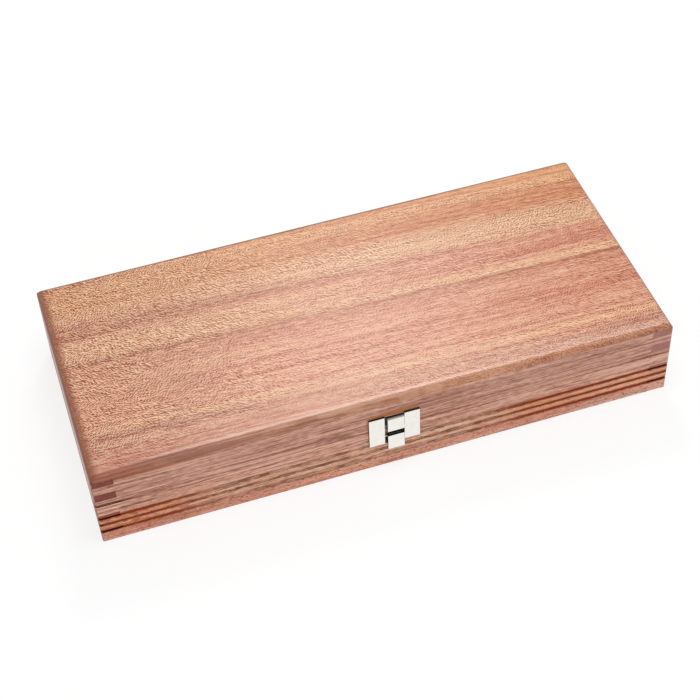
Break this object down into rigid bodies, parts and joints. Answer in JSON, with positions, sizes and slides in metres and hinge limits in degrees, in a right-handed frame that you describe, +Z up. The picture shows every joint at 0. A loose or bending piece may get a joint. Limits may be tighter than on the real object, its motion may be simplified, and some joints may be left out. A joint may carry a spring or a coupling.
{
  "type": "cutlery chest",
  "caption": "Flat wooden chest for cutlery with finger-jointed corners, grooves round the base, a hinged lid, a sprung metal catch and notched racks on felt inside.",
  "frame": {"origin": "middle of the case's underside, which stands on the table", "axes": "+Z up, +X along the case's length to the right, and the front with the catch faces -Y"},
  "size_m": [0.34, 0.1577, 0.0534],
  "materials": {
    "figured_wood": "ribbon-figured reddish hardwood with a thin satin lacquer",
    "board_wood": "straight-grained reddish hardwood boards with a thin satin lacquer",
    "floor_ply": "plain sanded plywood",
    "rack_wood": "sanded hardwood with a thin oil finish",
    "felt": "short dense wool felt",
    "catch_nickel": "bright nickel plate",
    "spring_steel": "bare spring steel",
    "hinge_nickel": "nickel plate, lightly worn",
    "screw_nickel": "nickel plate"
  },
  "bodies": {
    "base": {"base_front": "board_wood", "base_back": "board_wood", "base_left": "board_wood", "base_right": "board_wood", "base_floor": "floor_ply", "base_lining": "felt", "rack_left": "rack_wood", "rack_right": "rack_wood", "hinge_base_leaf_left": "hinge_nickel", "hinge_base_leaf_right": "hinge_nickel", "hinge_pin_left": "hinge_nickel", "hinge_pin_right": "hinge_nickel", "hinge_base_screws": "screw_nickel", "catch_plate": "catch_nickel", "catch_pin": "catch_nickel", "catch_spring": "spring_steel"},
    "lid": {"lid_front": "board_wood", "lid_back": "board_wood", "lid_left": "board_wood", "lid_right": "board_wood", "lid_top": "figured_wood", "lid_lining": "felt", "hinge_lid_leaf_left": "hinge_nickel", "hinge_lid_leaf_right": "hinge_nickel", "hinge_lid_screws": "screw_nickel", "catch_strike": "catch_nickel"},
    "lever": {"catch_lever": "catch_nickel"}
  },
  "joints": [
    {"name": "lid_hinge", "type": "hinge", "parent": "base", "child": "lid", "pos_m": [0, 0.0747, 0.0312], "axis": [-1, 0, 0], "range_deg": [0, 100]},
    {"name": "catch_pivot", "type": "hinge", "parent": "base", "child": "lever", "pos_m": [0.0007, -0.0782, 0.0262], "axis": [-1, 0, 0], "range_deg": [0, 12], "stiffness_Nm_per_rad": 0.02, "springref_deg": -8.59, "deforming": ["catch_spring"]}
  ]
}
